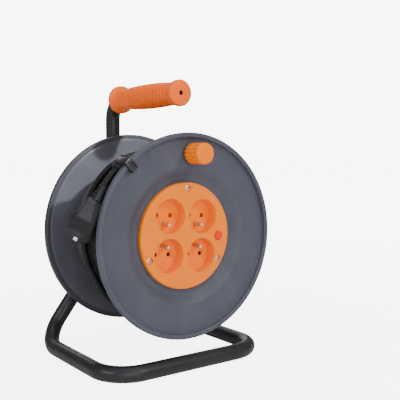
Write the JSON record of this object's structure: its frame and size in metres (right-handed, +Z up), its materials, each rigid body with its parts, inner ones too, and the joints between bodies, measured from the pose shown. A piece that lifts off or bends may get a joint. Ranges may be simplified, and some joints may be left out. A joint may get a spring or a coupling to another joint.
{
  "type": "extension cord reel",
  "caption": "Cable drum with four earthed sockets and a crank knob, turning on an axle in a bent tube stand with a carrying grip.",
  "frame": {"origin": "centre of the reel's footprint on the floor, halfway between the knob's end and the axle's head", "axes": "+X to the right facing the sockets, +Y from the sockets to the back along the drum's axle, +Z up"},
  "size_m": [0.2602, 0.2232, 0.34],
  "materials": {
    "tube": "satin black powder coat",
    "steel": "zinc-plated",
    "nickel": "nickel-plated",
    "brass": "bare",
    "slate_plastic": "fine-grained moulded, slate grey",
    "dark_plastic": "smooth moulded, dark slate grey",
    "orange_plate": "smooth moulded, orange",
    "orange_grip": "matt moulded, orange",
    "orange_deep": "moulded, deep orange",
    "red_button": "moulded, red",
    "black_plastic": "moulded, black",
    "white_plastic": "moulded, natural white",
    "cable_rubber": "semi-matt black sheath"
  },
  "bodies": {
    "frame": {"handle_tube": "tube", "floor_loop": "tube", "hub_sleeve": "tube", "grip": "orange_grip", "axle_bolt": "steel", "rear_thrust_washer": "steel", "inner_washer": "steel", "lock_nut": "steel"},
    "drum": {"front_flange": "slate_plastic", "rear_flange": "dark_plastic", "hub_bush": "white_plastic", "drum_screws": "steel", "socket_plate": "orange_plate", "plate_screws": "nickel", "earth_pins": "nickel", "earth_bar": "brass", "live_contacts": "brass", "neutral_contacts": "brass", "contact_tray": "white_plastic", "tray_screw": "steel", "thermal_cutout": "black_plastic", "terminal_block": "white_plastic", "inlet_clamp": "black_plastic", "knob_pin": "steel", "rim_hook": "black_plastic", "cable_core": "cable_rubber", "cable_winding": "cable_rubber", "cable_tail": "cable_rubber", "plug_body": "black_plastic", "plug_relief": "black_plastic", "plug_pins": "nickel", "plug_earth_clips": "nickel"},
    "crank_knob": {"crank_knob": "orange_grip"},
    "reset_button": {"reset_button": "red_button"},
    "shutter_top_left": {"shutter_top_left": "orange_deep"},
    "shutter_top_right": {"shutter_top_right": "orange_deep"},
    "shutter_bottom_left": {"shutter_bottom_left": "orange_deep"},
    "shutter_bottom_right": {"shutter_bottom_right": "orange_deep"}
  },
  "joints": [
    {"name": "drum_spin", "type": "hinge", "parent": "frame", "child": "drum", "pos_m": [0, 0, 0.156], "axis": [0, 1, 0], "continuous": true},
    {"name": "knob_spin", "type": "hinge", "parent": "drum", "child": "crank_knob", "pos_m": [0.00502, -0.09, 0.25187], "axis": [0, 1, 0], "continuous": true},
    {"name": "reset_press", "type": "slide", "parent": "drum", "child": "reset_button", "axis": [0, 1, 0], "range_m": [0, 0.002], "stiffness_N_per_m": 600, "springref_m": -0.0005},
    {"name": "shutter_top_left_slide", "type": "slide", "parent": "drum", "child": "shutter_top_left", "axis": [0.0523, 0, 0.9986], "range_m": [0, 0.0064], "stiffness_N_per_m": 120, "springref_m": -0.001},
    {"name": "shutter_top_right_slide", "type": "slide", "parent": "drum", "child": "shutter_top_right", "axis": [0.0523, 0, 0.9986], "range_m": [0, 0.0064], "stiffness_N_per_m": 120, "springref_m": -0.001},
    {"name": "shutter_bottom_left_slide", "type": "slide", "parent": "drum", "child": "shutter_bottom_left", "axis": [-0.0523, 0, -0.9986], "range_m": [0, 0.0064], "stiffness_N_per_m": 120, "springref_m": -0.001},
    {"name": "shutter_bottom_right_slide", "type": "slide", "parent": "drum", "child": "shutter_bottom_right", "axis": [-0.0523, 0, -0.9986], "range_m": [0, 0.0064], "stiffness_N_per_m": 120, "springref_m": -0.001}
  ]
}
